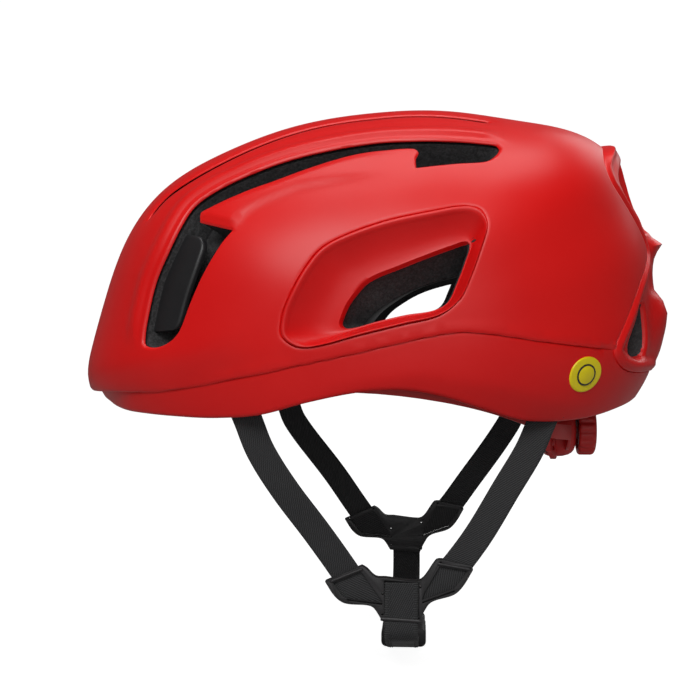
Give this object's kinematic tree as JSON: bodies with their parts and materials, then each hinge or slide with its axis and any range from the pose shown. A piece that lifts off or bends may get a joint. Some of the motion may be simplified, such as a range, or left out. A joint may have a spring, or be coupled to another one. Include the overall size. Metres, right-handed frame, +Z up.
{
  "type": "cycling helmet",
  "caption": "Road cycling helmet with vented shells over a foam liner, slip liner, dial fit band, webbing straps, strap dividers and a side-release buckle.",
  "frame": {"origin": "centre of the head space", "axes": "-X towards the brow, +X towards the nape, +Y towards the wearer's right, +Z up"},
  "size_m": [0.2851, 0.21, 0.2641],
  "materials": {
    "red_shell": "satin red polycarbonate",
    "red_bezel": "satin red polycarbonate",
    "charcoal_foam": "expanded bead foam",
    "slip_film": "matt black film",
    "pad_cloth": "knitted black cloth over foam",
    "elastomer": "matt",
    "black_webbing": "twill woven polyester",
    "black_plastic": "fine matt mould grain",
    "red_nylon": "satin red nylon",
    "steel": "plain",
    "badge_yellow": "printed film"
  },
  "bodies": {
    "helmet": {"buckle_socket": "black_plastic", "chin_strap_left": "black_webbing", "divider_left": "black_plastic", "divider_right": "black_plastic", "eps_liner": "charcoal_foam", "front_strap_left": "black_webbing", "front_strap_right": "black_webbing", "lower_shell": "red_shell", "rear_shell": "red_shell", "rear_strap_left": "black_webbing", "rear_strap_right": "black_webbing", "side_badge": "badge_yellow", "side_bezel_left": "red_bezel", "side_bezel_right": "red_bezel", "slip_stud_front_left": "elastomer", "slip_stud_front_right": "elastomer", "slip_stud_rear_left": "elastomer", "slip_stud_rear_right": "elastomer", "strap_anchor_front_left": "black_plastic", "strap_anchor_front_right": "black_plastic", "strap_anchor_rear_left": "black_plastic", "strap_anchor_rear_right": "black_plastic", "temple_pivot_left": "black_plastic", "temple_pivot_right": "black_plastic", "upper_shell": "red_shell"},
    "cradle": {"cradle": "red_nylon", "cradle_pad": "pad_cloth", "dial_housing": "red_nylon", "detent_spring": "steel"},
    "dial": {"dial": "red_nylon", "pinion": "red_nylon", "dial_screw": "steel"},
    "band_left": {"fit_band_left": "red_nylon"},
    "band_right": {"fit_band_right": "red_nylon"},
    "slip": {"slip_liner": "slip_film", "brow_pad": "pad_cloth", "crown_pad_left": "pad_cloth", "crown_pad_right": "pad_cloth", "side_pad_left": "pad_cloth", "side_pad_right": "pad_cloth"},
    "clip": {"buckle_clip": "black_plastic", "buckle_tongue": "black_plastic", "chin_strap_right": "black_webbing"},
    "prong_front": {"buckle_prong_front": "black_plastic"},
    "prong_rear": {"buckle_prong_rear": "black_plastic"}
  },
  "joints": [
    {"name": "cradle_height", "type": "hinge", "parent": "helmet", "child": "cradle", "pos_m": [-0.045, 0, -0.022], "axis": [0, 1, 0], "range_deg": [0, 5]},
    {"name": "dial_turn", "type": "hinge", "parent": "cradle", "child": "dial", "pos_m": [0.1012, 0, -0.05], "axis": [1, 0, 0], "range_deg": [0, 115], "deforming": ["fit_band_left", "fit_band_right"]},
    {"name": "left_band_draw", "type": "slide", "parent": "cradle", "child": "band_left", "axis": [0, 1, 0], "range_m": [0, 0.0081], "deforming": ["fit_band_left"]},
    {"name": "right_band_draw", "type": "slide", "parent": "cradle", "child": "band_right", "axis": [0, -1, 0], "range_m": [0, 0.0081], "deforming": ["fit_band_right"]},
    {"name": "liner_slip", "type": "hinge", "parent": "helmet", "child": "slip", "pos_m": [0, 0, 0], "axis": [0, 0, 1], "range_deg": [-4, 4], "stiffness_Nm_per_rad": 2},
    {"name": "buckle_release", "type": "slide", "parent": "helmet", "child": "clip", "axis": [0, 1, 0], "range_m": [0, 0.022], "deforming": ["chin_strap_right"]},
    {"name": "front_prong_pinch", "type": "hinge", "parent": "clip", "child": "prong_front", "pos_m": [0.0082, 0.0075, -0.1512], "axis": [0, 0, 1], "range_deg": [0, 7], "stiffness_Nm_per_rad": 0.2},
    {"name": "rear_prong_pinch", "type": "hinge", "parent": "clip", "child": "prong_rear", "pos_m": [0.0212, 0.0075, -0.1512], "axis": [0, 0, -1], "range_deg": [0, 7], "stiffness_Nm_per_rad": 0.2}
  ],
  "couplings": [
    {"joint": "left_band_draw", "follows": "dial_turn", "m_per_rad": 0.004},
    {"joint": "right_band_draw", "follows": "dial_turn", "m_per_rad": 0.004}
  ]
}
